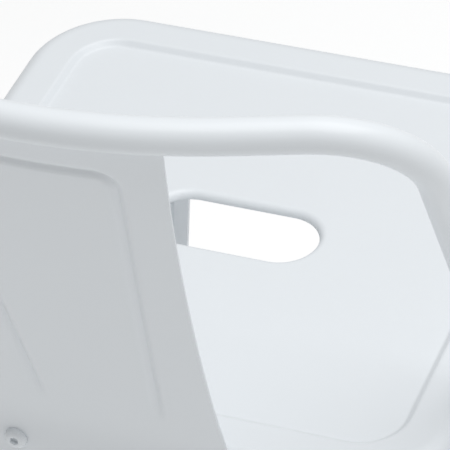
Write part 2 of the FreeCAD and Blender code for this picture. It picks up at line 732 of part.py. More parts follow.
def hexagon(sketch, flats):
    """A hexagon about the origin, by its width across flats."""
    corners = []
    for i in range(6):
        angle = 60 * i
        corners.append(("(%s / sqrt(3) * cos(%d))" % (flats, angle),
                        "(%s / sqrt(3) * sin(%d))" % (flats, angle)))
    return outline(sketch, corners)


# A button head's straight rim and its flat crown, as shares of its height and its radius.
HEAD_RIM_SHARE = 0.25
HEAD_CROWN_SHARE = 0.45


def make_bolt(name, grip):
    """A button-head screw: its head stands on Z = 0 and its shank points down."""
    body = new_body(name)
    rim = "(%s * sizes.head_height)" % HEAD_RIM_SHARE
    crown = "(%s * sizes.head_radius)" % HEAD_CROWN_SHARE
    stack = "(%s + sizes.washer_thick + sizes.nut_height + sizes.bolt_end)" % grip
    section = [("0", "-" + stack), ("sizes.bolt_radius", "-" + stack),
               ("sizes.bolt_radius", "0"), ("sizes.head_radius", "0"),
               ("sizes.head_radius", rim), (crown, "sizes.head_height"),
               ("0", "sizes.head_height")]
    # The dome is an arc that is level where it meets the flat crown.
    run, rise = "(sizes.head_radius - %s)" % crown, "(sizes.head_height - %s)" % rim
    dome = "((%s * %s + %s * %s) / (2 * %s))" % (run, run, rise, rise, rise)
    bends = {4: (dome, crown, "sizes.head_height - " + dome)}
    revolve(body, name + "_solid", outline(
        new_sketch(body, name + "_section", "XZ_Plane"), section, bends))
    socket = hexagon(new_sketch(body, name + "_socket_outline", offset="sizes.head_height"),
                     "sizes.socket_flats")
    pocket(body, name + "_socket", socket, "sizes.socket_depth")
    return body


def make_washer(name):
    body = new_body(name)
    ring(body, name, lambda sketch: circle(sketch, "0", "0", "sizes.washer_radius"),
         "sizes.washer_thick")
    return body


def make_nut(name):
    body = new_body(name)
    ring(body, name, lambda sketch: hexagon(sketch, "sizes.nut_flats"), "sizes.nut_height")
    return body


def place(piece, turn, x, y, z):
    """Turn a fastener and put it at a place given from the seat's centre."""
    piece.Placement = Placement(Vector(), turn)
    for axis, text in (("x", x), ("y", "%s + %s" % (y, SEAT_CENTRE_Y)), ("z", z)):
        piece.setExpression("Placement.Base." + axis, text)


def both_sides(label, piece):
    """The piece and its mirror image across the stool, as one sub-part."""
    twin = doc.addObject("Part::Mirroring", label + "_twin")
    twin.Source = piece
    twin.Normal = Vector(1, 0, 0)
    pair = doc.addObject("Part::Compound", label)
    pair.Links = [piece, twin]
    pair.Label = label
    return pair


def make_fasteners():
    """Bolts through the skirt from outside, their washers and nuts against its inner face."""
    skirt = "sizes.seat_side / 2"
    inner = skirt + " - sizes.sheet"
    level = "sizes.seat_height - sizes.bolt_drop"
    back, left = Rotation(Vector(1, 0, 0), -90), Rotation(Vector(0, 1, 0), 90)
    pieces = []
    for joint, turn, plate in (("splat", back, "sizes.splat_thick"),
                               ("hoop", left, "sizes.lug_thick")):
        grip = "(sizes.sheet + sizes.nest_gap + %s)" % plate
        stack = [("bolt", make_bolt(joint + "_bolt", grip),
                  "%s + sizes.nest_gap + %s" % (skirt, plate)),
                 ("washer", make_washer(joint + "_washer"), inner + " - sizes.washer_thick"),
                 ("nut", make_nut(joint + "_nut"),
                  inner + " - sizes.washer_thick - sizes.nut_height")]
        for kind, piece, reach in stack:
            if joint == "splat":
                place(piece, turn, "sizes.bolt_spread", reach, level)
            else:
                place(piece, turn, reach, LUG_BOLT_Y, level)
            pieces.append(both_sides("%s_%ss" % (joint, kind), piece))
    return pieces


# ---------------------------------------------------------------- the stool

sub_parts = [make_seat_pan()]
for corner, angle in CORNERS:
    sub_parts += [make_leg(corner, angle), make_foot(corner, angle)]
for side, angle in SIDES:
    sub_parts.append(make_rail(side, angle))
sub_parts.append(make_brace_bar("brace_bar_upper", BRACE_TOP, 45))
sub_parts.append(make_brace_bar("brace_bar_lower", "(%s - sizes.brace_thick)" % BRACE_TOP, 135))
sub_parts.append(make_brace_rivet())
rods = hoop_tubes()
sub_parts += [make_back_hoop(rods), make_back_splat(rods[0])]
sub_parts += make_fasteners()
doc.recompute()

for item in doc.Objects:
    if "Invalid" in item.State or "Error" in item.State:
        raise RuntimeError("%s failed: %s" % (item.Label, item.State))
for part in sub_parts:
    if part.Shape.isNull() or not part.Shape.isValid() or part.Shape.Volume <= 0:
        raise RuntimeError(part.Label + " has no sound shape")

os.makedirs("parts", exist_ok=True)
for part in sub_parts:
    part.Shape.exportStep(os.path.join("parts", part.Label + ".step"))
    print("%-18s %9.0f mm3  %d solid" % (part.Label, part.Shape.Volume, len(part.Shape.Solids)))
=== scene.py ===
"""The looks of a white pressed-steel counter stool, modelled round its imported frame."""

from math import acos, cos, pi, radians, sin, sqrt, tan

import bpy
from mathutils import Matrix, Vector


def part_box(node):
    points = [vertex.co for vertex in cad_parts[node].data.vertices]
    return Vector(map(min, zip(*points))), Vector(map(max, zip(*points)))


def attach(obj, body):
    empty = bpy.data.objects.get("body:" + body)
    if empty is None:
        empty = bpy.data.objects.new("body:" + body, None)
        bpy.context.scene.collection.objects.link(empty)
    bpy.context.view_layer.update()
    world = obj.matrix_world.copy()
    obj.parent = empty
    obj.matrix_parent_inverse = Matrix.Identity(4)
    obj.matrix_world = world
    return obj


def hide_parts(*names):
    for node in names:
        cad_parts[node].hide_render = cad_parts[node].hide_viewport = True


bl_info = {
    "name": "Counter Stool",
    "version": (1, 0, 0),
    "blender": (4, 5, 0),
    "location": "View3D > Sidebar > Stool",
    "description": "Models a coated steel counter stool round its frame",
    "category": "Add Mesh",
}

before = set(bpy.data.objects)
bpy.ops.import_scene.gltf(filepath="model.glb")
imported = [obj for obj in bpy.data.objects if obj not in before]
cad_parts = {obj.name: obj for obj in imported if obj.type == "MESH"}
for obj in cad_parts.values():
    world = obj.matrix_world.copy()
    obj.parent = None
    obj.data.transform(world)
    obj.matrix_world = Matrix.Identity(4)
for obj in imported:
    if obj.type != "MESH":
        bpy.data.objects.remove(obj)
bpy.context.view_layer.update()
SEAT_Y = (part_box("seat_pan")[0][1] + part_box("seat_pan")[1][1]) / 2
NEAR = 1e-5
CUT_EDGE = 0.0004
LEG_EDGE = 0.0006
FOOT_EDGE = 0.0011
SPLAT_EDGE = 0.0003
BOLT_EDGE = 0.00015
PEEL_DEPTH = 0.0004
GRAIN_DEPTH = 0.0003


# ---------------------------------------------------------------- sizes and colours

def length(name, description, default):
    return bpy.props.FloatProperty(
        name=name, description=description, default=default, unit="LENGTH", precision=4)


def colour(name, description, default):
    return bpy.props.FloatVectorProperty(
        name=name, description=description, default=default, subtype="COLOR", size=3,
        min=0.0, max=1.0)


class StoolSeatSizes(bpy.types.PropertyGroup):
    """Sizes of the seat pan and the pieces under it."""

    height: length("Height", "Floor to the top of the rim", 0.610)
    side: length("Side", "Outside of the skirt, square", 0.306)
    corner: length("Corner", "Corner radius of the skirt", 0.049)
    rim: length("Rim Roll", "Roll from the rim down to the skirt", 0.010)
    skirt: length("Skirt Depth", "Rim top to the skirt's lower edge", 0.045)
    sheet: length("Sheet", "Thickness of the pressed sheet", 0.0015)
    panel: length("Panel", "Recessed panel, middle of its step", 0.254)
    recess: length("Recess", "Depth of the panel below the rim", 0.003)
    blend: length("Step Blend", "Radius above and below the step", 0.0025)
    hole_length: length("Hole Length", "Hand hole, inside the lip", 0.0865)
    hole_width: length("Hole Width", "Hand hole, inside the lip", 0.037)
    hole_forward: length("Hole Forward", "Hand hole ahead of the seat's centre", 0.0045)
    hole_lip: length("Lip Depth", "Panel's face to the lip's lower edge", 0.0045)
    hole_roll: length("Lip Roll", "Radius of the lip's bend", 0.004)


class StoolLegSizes(bpy.types.PropertyGroup):
    """Sizes of the legs, feet, foot rails and brace."""

    foot_half: length("Foot Half", "Centre line to a leg's face, at the floor", 0.200)
    foot_corner: length("Foot Corner", "Radius of a leg's corner at the floor", 0.022)
    foot_edge: length("Foot Edge", "Centre line to a leg's inner edge at the floor", 0.157)
    top_edge: length("Top Edge", "Centre line to a leg's inner edge at the skirt", 0.081)
    gap: length("Nest Gap", "Gap between nested steel pieces", 0.0002)
    hem: length("Hem", "Width of the hem along each leg edge", 0.009)
    top_drop: length("Top Drop", "Rim top down to the top of a leg", 0.0095)
    sole: length("Sole", "Rubber under the end of a leg", 0.005)
    boot: length("Boot Height", "Height of a rubber foot", 0.020)
    boot_wall: length("Boot Wall", "Rubber round the leg's sheet", 0.003)
    rail_height: length("Rail Height", "Floor to the middle of a rail", 0.215)
    rail_face: length("Rail Face", "Height of a rail's face", 0.028)
    rail_depth: length("Rail Depth", "Depth of a rail's channel", 0.011)
    rail_lap: length("Rail Lap", "Rail end that lies behind a leg's arm", 0.021)
    rail_bend: length("Rail Bend", "Outer bend radius of the channel", 0.004)
    brace_drop: length("Brace Drop", "Rim top down to the upper bar", 0.097)
    brace_width: length("Brace Width", "Width of a brace bar", 0.025)
    brace_thick: length("Brace Thickness", "Thickness of a brace bar", 0.003)
    brace_tab: length("Brace Tab", "Height of the tab at each end", 0.026)
    rivet_head: length("Rivet Head", "Radius of the rivet's head", 0.0075)
    rivet_dome: length("Rivet Dome", "Height of the rivet's head", 0.003)


class StoolBackSizes(bpy.types.PropertyGroup):
    """Sizes of the hoop, the splat and the fasteners."""

    tube: length("Tube Radius", "Outside radius of the hoop's tube", 0.008)
    tube_wall: length("Tube Wall", "Wall of the hoop's tube", 0.0015)
    rise: length("Hoop Height", "Rim top up to the hoop's centre line", 0.230)
    setback: length("Hoop Setback", "Seat centre back to the hoop", 0.219)
    plan_radius: length("Plan Radius", "Curve of the hoop round the back", 0.294)
    plan_angle: bpy.props.FloatProperty(
        name="Plan Angle", description="Half of the angle of that curve",
        default=radians(18.3), subtype="ANGLE")
    bend: length("Hoop Bend", "Radius of the bend down to the side", 0.052)
    lean: bpy.props.FloatProperty(
        name="Side Lean", description="Lean of the hoop's sides from upright",
        default=radians(26.0), subtype="ANGLE")
    side_gap: length("Side Gap", "Gap between the tube and the skirt", 0.003)
    lug_width: length("Lug Width", "Flattened end of the tube", 0.023)
    lug_thick: length("Lug Thickness", "Flattened end of the tube", 0.0032)
    lug_taper: length("Lug Taper", "Length over which the tube is pressed flat", 0.024)
    splat_thick: length("Splat Thickness", "Thickness of the splat", 0.0015)
    splat_foot: length("Splat Foot", "Half width at the lower edge", 0.062)
    splat_waist: length("Splat Waist", "Half width at the waist", 0.0568)
    splat_top: length("Splat Top", "Half width under the hoop", 0.0655)
    waist_rise: length("Waist Rise", "Rim top up to the waist", 0.045)
    foot_drop: length("Splat Drop", "Rim top down to the lower edge", 0.031)
    foot_corner: length("Splat Corner", "Radius of the lower corners", 0.008)
    groove_width: length("Groove Width", "Width of the pressed groove", 0.0072)
    groove_depth: length("Groove Depth", "Depth of the pressed groove", 0.0016)
    groove_half: length("Groove Half", "Centre line to the groove at the rim", 0.027)
    groove_flare: bpy.props.FloatProperty(
        name="Groove Flare", description="How fast the groove's sides spread going up",
        default=0.076)
    groove_top: length("Groove Top", "Rim top up to the groove's crosswise run", 0.203)
    groove_corner: length("Groove Corner", "Radius of the groove's corners", 0.010)
    groove_foot: length("Groove Foot", "Rim top up to where the groove fades out", 0.027)
    bolt_spread: length("Bolt Spread", "Centre line to each splat bolt", 0.0485)
    bolt_drop: length("Bolt Drop", "Rim top down to the bolts", 0.0153)
    bolt_shank: length("Bolt Shank", "Radius of the shank", 0.003)
    head_radius: length("Head Radius", "Button head", 0.0056)
    head_height: length("Head Height", "Button head", 0.0033)
    socket_flats: length("Socket", "Hexagon socket across flats", 0.004)
    socket_depth: length("Socket Depth", "Hexagon socket", 0.002)
    washer: length("Washer", "Thickness of a washer", 0.0014)
    nut: length("Nut", "Height of a nut", 0.005)
    bolt_end: length("Bolt End", "Shank showing past the nut", 0.002)


class StoolColours(bpy.types.PropertyGroup):
    """Colours of the coating, the rubber, the fasteners and the floor."""

    coat: colour("Coating", "White powder coat", (0.765, 0.80, 0.83))
    rubber: colour("Rubber", "Rubber feet", (0.045, 0.047, 0.050))
    screws: colour("Screws", "Coated fasteners", (0.77, 0.805, 0.835))
    floor: colour("Floor", "Plain pale floor", (0.985, 0.99, 0.99))


# ---------------------------------------------------------------- mesh helpers

def clear_selection():
    """Leave edit mode with nothing selected."""
    if bpy.context.object and bpy.context.object.mode != "OBJECT":
        bpy.ops.object.mode_set(mode="OBJECT")
    bpy.ops.object.select_all(action="DESELECT")


def begin(name):
    """Name the primitive that was just added and open it in edit mode, vertices first."""
    piece = bpy.context.object
    piece.name = name
    piece.data.name = name
    bpy.ops.object.transform_apply(location=True, rotation=True, scale=True)
    bpy.ops.object.mode_set(mode="EDIT")
    bpy.ops.mesh.select_mode(type="VERT")
    return piece


def pick(piece, wanted, mode="VERT"):
    """Select the vertices, edges or faces whose middle passes a test, and count them."""
    bpy.ops.mesh.select_mode(type=mode)
    bpy.ops.mesh.select_all(action="DESELECT")
    bpy.ops.object.mode_set(mode="OBJECT")
    mesh = piece.data
    if mode == "VERT":
        parts = [(v, v.co) for v in mesh.vertices]
    elif mode == "EDGE":
        ends = [[mesh.vertices[i].co for i in e.vertices] for e in mesh.edges]
        parts = [(e, (a + b) / 2) for e, (a, b) in zip(mesh.edges, ends)]
    else:
        parts = [(f, f.center) for f in mesh.polygons]
    count = 0
    for part, middle in parts:
        if wanted(middle):
            part.select = True
            count += 1
    bpy.ops.object.mode_set(mode="EDIT")
    return count


def push(x=0.0, y=0.0, z=0.0):
    """Extrude the selection and move it."""
    bpy.ops.mesh.extrude_region_move(TRANSFORM_OT_translate={"value": (x, y, z)})


def shift(x=0.0, y=0.0, z=0.0):
    bpy.ops.transform.translate(value=(x, y, z))


def stretch(factors, centre):
    bpy.ops.transform.resize(value=factors, center_override=centre)


def step_in(thickness, depth):
    """Inset the selected face evenly and raise or lower it."""
    bpy.ops.mesh.inset(thickness=thickness, depth=depth, use_even_offset=True,
                       use_boundary=True)


def modify(piece, kind, **settings):
    """Add a modifier, set it and apply it."""
    modifier = piece.modifiers.new(kind.lower(), kind)
    for key, value in settings.items():
        setattr(modifier, key, value)
    bpy.context.view_layer.objects.active = piece
    bpy.ops.object.modifier_apply(modifier=modifier.name)


def outward():
    """Point every face outwards, in edit mode."""
    bpy.ops.mesh.select_all(action="SELECT")
    bpy.ops.mesh.remove_doubles(threshold=NEAR)
    bpy.ops.mesh.normals_make_consistent(inside=False)


def finish(piece, material, slot, node, angle=0.0, smooth=radians(40)):
    """Put a piece drawn about the seat's centre in its place, shade it and let it ride."""
    clear_selection()
    piece.select_set(True)
    bpy.context.view_layer.objects.active = piece
    piece.location = (0, SEAT_Y, 0)
    piece.rotation_euler = (0, 0, angle)
    bpy.ops.object.transform_apply(location=True, rotation=True, scale=True)
    bpy.ops.object.shade_smooth_by_angle(angle=smooth)
    piece.data.materials.clear()
    piece.data.materials.append(material)
    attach(piece, "root")
    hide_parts(node)
    piece.select_set(False)


def finish_ring(first, stem, places, material, slot):
    """Copy a piece round the seat's centre: places pairs a name with a turn in degrees."""
    pieces = [first]
    for _ in places[1:]:
        clear_selection()
        first.select_set(True)
        bpy.context.view_layer.objects.active = first
        bpy.ops.object.duplicate(linked=False)
        pieces.append(bpy.context.object)
    for piece, (place, turn) in zip(pieces, places):
        piece.name = "%s_%s_shape" % (stem, place)
        piece.data.name = piece.name
        finish(piece, material, slot, "%s_%s" % (stem, place), radians(turn))


def thicken(piece, thickness, edge=0.0, steps=2, inward=-1.0):
    """Give a sheet its thickness and round its cut edges."""
    bpy.ops.object.mode_set(mode="OBJECT")
    modify(piece, "SOLIDIFY", thickness=thickness, offset=inward, use_even_offset=True)
    if edge:
        round_edges(piece, edge, steps)


def round_edges(piece, width, steps=2, limit=radians(50)):
    modify(piece, "BEVEL", width=width, segments=steps, limit_method="ANGLE",
           angle_limit=limit, use_clamp_overlap=True)


def pick_open(piece, wanted):
    """Select the open edges whose middle passes a test."""
    bpy.ops.mesh.select_mode(type="EDGE")
    bpy.ops.mesh.select_all(action="DESELECT")
    bpy.ops.mesh.select_non_manifold(extend=False, use_wire=False, use_boundary=True,
                                     use_multi_face=False, use_non_contiguous=False,
                                     use_verts=False)
    bpy.ops.object.mode_set(mode="OBJECT")
    mesh = piece.data
    for edge in mesh.edges:
        a, b = (mesh.vertices[i].co for i in edge.vertices)
        if edge.select and not wanted((a + b) / 2):
            edge.select = False
    for vertex in mesh.vertices:
        vertex.select = False
    for face in mesh.polygons:
        face.select = False
    bpy.ops.object.mode_set(mode="EDIT")


def arc_steps(radius, first, last, steps):
    """Steps along and up an arc: pairs of how far in and how far down each one goes."""
    turns = [first + (last - first) * i / steps for i in range(steps + 1)]
    for a, b in zip(turns, turns[1:]):
        yield radius * (sin(b) - sin(a)), radius * (cos(a) - cos(b))


# ---------------------------------------------------------------- finishes

class Value:
    """A value in a finish's nodes, which can be used in sums."""

    def __init__(self, finish, socket):
        self.finish = finish
        self.socket = socket

    def sum(self, operation, first, second):
        return self.finish.node("ShaderNodeMath", {"operation": operation},
                                {0: first, 1: second})

    def __add__(self, other):
        return self.sum("ADD", self, other)

    def __sub__(self, other):
        return self.sum("SUBTRACT", self, other)

    def __rsub__(self, other):
        return self.sum("SUBTRACT", other, self)

    def __mul__(self, other):
        return self.sum("MULTIPLY", self, other)

    __radd__ = __add__
    __rmul__ = __mul__


class Finish:
    """A material whose nodes are added one call at a time."""

    def __init__(self, name):
        self.material = bpy.data.materials.new(name)
        self.material.use_nodes = True
        self.tree = self.material.node_tree
        self.shader = self.tree.nodes["Principled BSDF"]

    def plug(self, socket, value):
        if isinstance(value, Value):
            self.tree.links.new(value.socket, socket)
        else:
            socket.default_value = value

    def node(self, kind, settings=None, inputs=None, output=0):
        node = self.tree.nodes.new(kind)
        for key, value in (settings or {}).items():
            setattr(node, key, value)
        for key, value in (inputs or {}).items():
            self.plug(node.inputs[key], value)
        return Value(self, node.outputs[output])

    def set(self, **sockets):
        for key, value in sockets.items():
            self.plug(self.shader.inputs[key.replace("_", " ")], value)

    def noise(self, place, scale, detail=2.0, rough=0.5):
        return self.node("ShaderNodeTexNoise", {"noise_dimensions": "3D"},
                         {"Vector": place, "Scale": scale, "Detail": detail,
                          "Roughness": rough})

    def between(self, share, low, high):
        """A colour between two others."""
        return self.node("ShaderNodeMix", {"data_type": "RGBA"},
                         {0: share, 6: (*low, 1.0), 7: (*high, 1.0)}, output=2)

    def bump(self, height, strength, distance):
        return self.node("ShaderNodeBump", None,
                         {"Height": height, "Strength": strength, "Distance": distance})


def tinted(shade, factor):
    return tuple(min(1.0, part * factor) for part in shade)


def powder_coat(name, tint, roughness, peel):
    """Satin powder coat: a fine orange peel over slow changes of tone and gloss."""
    coat = Finish(name)
    place = coat.node("ShaderNodeTexCoord", output="Object")
    slow = coat.noise(place, 7.0)
    patches = coat.noise(place, 55.0)
    ripple = coat.noise(place, 420.0, 1.0)
    grain = coat.noise(place, 1500.0, 1.0)
    tone = slow * 0.6 + patches * 0.25 + grain * 0.15
    coat.set(Base_Color=coat.between(tone, tinted(tint, 0.985), tinted(tint, 1.015)),
             Roughness=roughness + (patches - 0.5) * 0.10 + (grain - 0.5) * 0.06,
             Normal=coat.bump(ripple * 0.8 + grain * 0.2, peel, PEEL_DEPTH),
             Specular_IOR_Level=0.4)
    return coat.material


def moulded_rubber(name, tint):
    """Matt rubber: a dusty bloom over a fine moulded grain."""
    rubber = Finish(name)
    place = rubber.node("ShaderNodeTexCoord", output="Object")
    bloom = rubber.noise(place, 60.0, 4.0)
    grain = rubber.noise(place, 1800.0, 2.0)
    rubber.set(Base_Color=rubber.between(bloom, tinted(tint, 0.75), tinted(tint, 1.5)),
               Roughness=0.62 + bloom * 0.22,
               Normal=rubber.bump(grain, 0.25, GRAIN_DEPTH))
    return rubber.material


def plain_floor(name, tint, glow):
    """A pale sweep that holds its brightness in the soft shade below the seat."""
    floor = Finish(name)
    place = floor.node("ShaderNodeTexCoord", output="Object")
    drift = floor.noise(place, 1.5)
    floor.set(Base_Color=floor.between(drift, tinted(tint, 0.99), tint),
              Roughness=0.75 + drift * 0.1,
              Emission_Color=(1.0, 1.0, 1.0, 1.0), Emission_Strength=glow)
    return floor.material


def shared(name, make, *settings):
    """The material of that name, made the first time that it is asked for."""
    return bpy.data.materials.get(name) or make(name, *settings)


def coat_of(scene):
    return shared("white_powder_coat", powder_coat, tuple(scene.stool_colours.coat), 0.34, 0.10)


def screw_coat_of(scene):
    return shared("coated_screws", powder_coat, tuple(scene.stool_colours.screws), 0.28, 0.08)


def rubber_of(scene):
    return shared("moulded_rubber", moulded_rubber, tuple(scene.stool_colours.rubber))


# ---------------------------------------------------------------- seat pan

CORNER_STEPS = 24
ROLL_STEPS = 12
STEP_STEPS = 5
HOLE_SIDES = 96
HOLD = 0.001


class STOOL_OT_seat_pan(bpy.types.Operator):
    """Press the seat pan: skirt, rolled rim, recessed panel and lipped hand hole"""

    bl_idname = "stool.seat_pan"
    bl_label = "Seat Pan"

    def execute(self, context):
        seat = context.scene.stool_seat
        clear_selection()
        bottom = seat.height - seat.skirt
        panel_z = seat.height - seat.recess
        bpy.ops.mesh.primitive_plane_add(size=seat.side, location=(0, 0, bottom))
        pan = begin("seat_pan_pressing")
        bpy.ops.mesh.select_all(action="SELECT")
        bpy.ops.mesh.bevel(offset=seat.corner, segments=CORNER_STEPS, affect="VERTICES")

        # The skirt, the rim's roll and the flat rim.
        bpy.ops.mesh.select_all(action="SELECT")
        push(z=seat.skirt - seat.rim)
        for across, up in reversed(list(arc_steps(seat.rim, 0, pi / 2, ROLL_STEPS))):
            step_in(across, up)
        slope = radians(45)
        tangent = seat.blend * tan(slope / 2)
        rim_width = seat.side / 2 - seat.rim - (seat.panel + seat.recess) / 2 - tangent
        step_in(HOLD, 0)
        step_in(rim_width - 2 * HOLD, 0)
        step_in(HOLD, 0)

        # The step down to the panel: a bend, a straight slope, and a bend back.
        for across, down in arc_steps(seat.blend, 0, slope, STEP_STEPS):
            step_in(across, -down)
        straight = seat.recess / sin(slope) - 2 * tangent
        step_in(straight * cos(slope), -straight * sin(slope))
        for across, down in reversed(list(arc_steps(seat.blend, 0, slope, STEP_STEPS))):
            step_in(across, -down)
        step_in(HOLD, 0)
        bpy.ops.mesh.delete(type="ONLY_FACE")

        # The hand hole: a circle pulled apart into a slot, its edge rolled down to a lip.
        radius = seat.hole_width / 2 + seat.hole_roll + HOLD
        reach = (seat.hole_length - seat.hole_width) / 2
        bpy.ops.mesh.primitive_circle_add(
            vertices=HOLE_SIDES, radius=radius, fill_type="NGON",
            location=(0, -seat.hole_forward, panel_z), rotation=(0, 0, pi / HOLE_SIDES))
        for side in (1, -1):
            pick(pan, lambda v: 0 < v.x * side < radius + NEAR and abs(v.y) < 2 * radius)
            shift(x=side * reach)
        pick(pan, lambda f: f.xy.length < radius / 2 and f.z > bottom + NEAR, "FACE")
        step_in(HOLD, 0)
        for across, down in arc_steps(seat.hole_roll, 0, pi / 2, ROLL_STEPS):
            step_in(across, -down)
        push(z=seat.hole_roll - seat.hole_lip)
        bpy.ops.mesh.delete(type="ONLY_FACE")

        pick_open(pan, lambda e: abs(e.z - panel_z) < NEAR)
        bpy.ops.mesh.bridge_edge_loops()
        pick(pan, lambda f: abs(f.z - bottom) < NEAR, "FACE")
        bpy.ops.mesh.delete(type="ONLY_FACE")
        outward()
        thicken(pan, seat.sheet, CUT_EDGE)
        finish(pan, coat_of(context.scene), "enamel", "seat_pan")
        return {"FINISHED"}


# ---------------------------------------------------------------- legs and feet

CORNERS = (("rear_left", 0), ("rear_right", 90), ("front_right", 180), ("front_left", 270))
SIDES = (("rear", 0), ("right", 90), ("front", 180), ("left", 270))
LEG_CORNER_STEPS = 16
END_BAND = 0.002
HEM_NEAR = 0.0001


class LegShape:
    """The leg's section at each height, worked out from the sizes."""

    def __init__(self, scene):
        seat, legs = scene.stool_seat, scene.stool_legs
        self.skirt_z = seat.height - seat.skirt
        inside = seat.sheet + legs.gap
        self.ends = {"half": (legs.foot_half, seat.side / 2 - inside),
                     "corner": (legs.foot_corner, seat.corner - inside),
                     "edge": (legs.foot_edge, legs.top_edge)}

    def at(self, what, height):
        low, high = self.ends[what]
        return low + (high - low) * height / self.skirt_z


def bent_strip(name, shape, heights, grow, hem):
    """A sheet bent round a leg's corner, ready in edit mode, and open at its edges."""

    def sizes(height):
        return (shape.at("half", height) + grow, shape.at("corner", height) + grow,
                shape.at("edge", height) - grow)

    half, corner, edge = sizes(heights[0])
    near = edge + hem
    bpy.ops.mesh.primitive_plane_add(
        size=half - near, location=((half + near) / 2, (half + near) / 2, heights[0]))
    strip = begin(name)
    pick(strip, lambda v: v.x < half - NEAR and v.y < half - NEAR)
    bpy.ops.mesh.delete(type="VERT")
    pick(strip, lambda v: v.x > half - NEAR and v.y > half - NEAR)
    bpy.ops.mesh.bevel(offset=corner, segments=LEG_CORNER_STEPS, affect="VERTICES")
    pick(strip, lambda v: v.x < near + NEAR)
    push(x=-hem)
    pick(strip, lambda v: v.y < near + NEAR)
    push(y=-hem)
    bpy.ops.mesh.select_all(action="SELECT")
    for below, height in zip(heights, heights[1:]):
        push(z=height - below)
        old_half, old_corner, old_edge = sizes(below)
        half, corner, edge = sizes(height)
        middle = old_half - old_corner
        level = height - NEAR
        limit = old_edge + hem + NEAR
        pick(strip, lambda v: v.z > level and v.x < limit)
        shift(edge - old_edge, half - old_half)
        pick(strip, lambda v: v.z > level and v.y < limit and v.x > limit)
        shift(half - old_half, edge - old_edge)
        pick(strip, lambda v: v.z > level and v.x > limit and v.y > limit)
        stretch((corner / old_corner, corner / old_corner, 1), (middle, middle, height))
        shift(half - corner - middle, half - corner - middle)
        pick(strip, lambda v: v.z > level)
    outward()
    return strip


def fold_hems(strip, shape, heights, grow, hem, wall, fold):
    """Trim the thickened strip level, then fold both of its edges over once more."""
    bpy.ops.object.mode_set(mode="EDIT")
    for level in (heights[0], heights[-1]):
        pick(strip, lambda v: abs(v.z - level) < END_BAND)
        stretch((1, 1, 0), (0, 0, level))

    def on_hem(along, face, height):
        inner = shape.at("half", height) + grow - wall
        return (abs(face - inner) < HEM_NEAR
                and along < shape.at("edge", height) - grow + hem + HEM_NEAR)

    pick(strip, lambda f: on_hem(f.x, f.y, f.z), "FACE")
    push(y=-fold)
    pick(strip, lambda f: on_hem(f.y, f.x, f.z), "FACE")
    push(x=-fold)
    bpy.ops.object.mode_set(mode="OBJECT")


class STOOL_OT_legs(bpy.types.Operator):
    """Fold the four legs from sheet, with a hem along each edge"""

    bl_idname = "stool.legs"
    bl_label = "Legs"

    def execute(self, context):
        scene = context.scene
        seat, legs = scene.stool_seat, scene.stool_legs
        shape = LegShape(scene)
        clear_selection()
        heights = (legs.sole, shape.skirt_z, seat.height - legs.top_drop)
        leg = bent_strip("leg", shape, heights, 0.0, legs.hem)
        thicken(leg, seat.sheet)
        fold_hems(leg, shape, heights, 0.0, legs.hem, seat.sheet, seat.sheet)
        round_edges(leg, LEG_EDGE, 3)
        finish_ring(leg, "leg", CORNERS, coat_of(scene), "enamel")
        return {"FINISHED"}


class STOOL_OT_feet(bpy.types.Operator):
    """Mould the four rubber feet round the ends of the legs"""

    bl_idname = "stool.feet"
    bl_label = "Rubber Feet"

    def execute(self, context):
        scene = context.scene
        seat, legs = scene.stool_seat, scene.stool_legs
        shape = LegShape(scene)
        clear_selection()
        wall = seat.sheet + 2 * legs.boot_wall
        hem = legs.hem + 2 * legs.boot_wall
        heights = (0.0, legs.boot)
        foot = bent_strip("foot", shape, heights, legs.boot_wall, hem)
        thicken(foot, wall)
        fold_hems(foot, shape, heights, legs.boot_wall, hem, wall, seat.sheet)
        round_edges(foot, FOOT_EDGE, 4)
        finish_ring(foot, "foot", CORNERS, rubber_of(scene), "rubber")
        return {"FINISHED"}


# ---------------------------------------------------------------- rails and brace

class STOOL_OT_rails(bpy.types.Operator):
    """Roll the four foot rails: channels with rounded bends, open to the inside"""

    bl_idname = "stool.rails"
    bl_label = "Foot Rails"

    def execute(self, context):
        scene = context.scene
        seat, legs = scene.stool_seat, scene.stool_legs
        shape = LegShape(scene)
        clear_selection()
        top = legs.rail_height + legs.rail_face / 2
        low = top - legs.rail_face
        inset = 2 * seat.sheet + legs.gap
        top_y = shape.at("half", top) - inset
        low_y = shape.at("half", low) - inset
        reach = shape.at("edge", legs.rail_height) + legs.rail_lap
        bpy.ops.mesh.primitive_plane_add(
            size=legs.rail_face, location=(-reach, top_y - legs.rail_face / 2, legs.rail_height),
            rotation=(0, pi / 2, 0))
        rail = begin("rail")
        pick(rail, lambda e: e.y < top_y - legs.rail_face + NEAR, "EDGE")
        bpy.ops.mesh.delete(type="EDGE")
        pick(rail, lambda v: v.y < top_y - NEAR)
        shift(y=legs.rail_face - legs.rail_depth)
        pick(rail, lambda v: v.z < low + NEAR)
        shift(y=low_y - top_y)
        pick(rail, lambda v: v.y > top_y - NEAR)
        bpy.ops.mesh.bevel(offset=legs.rail_bend, segments=6, affect="VERTICES")
        bpy.ops.mesh.select_all(action="SELECT")
        push(x=2 * reach)
        outward()
        thicken(rail, seat.sheet, CUT_EDGE)
        finish_ring(rail, "rail", SIDES, coat_of(scene), "enamel")
        return {"FINISHED"}


RIVET_SHANK = 0.004


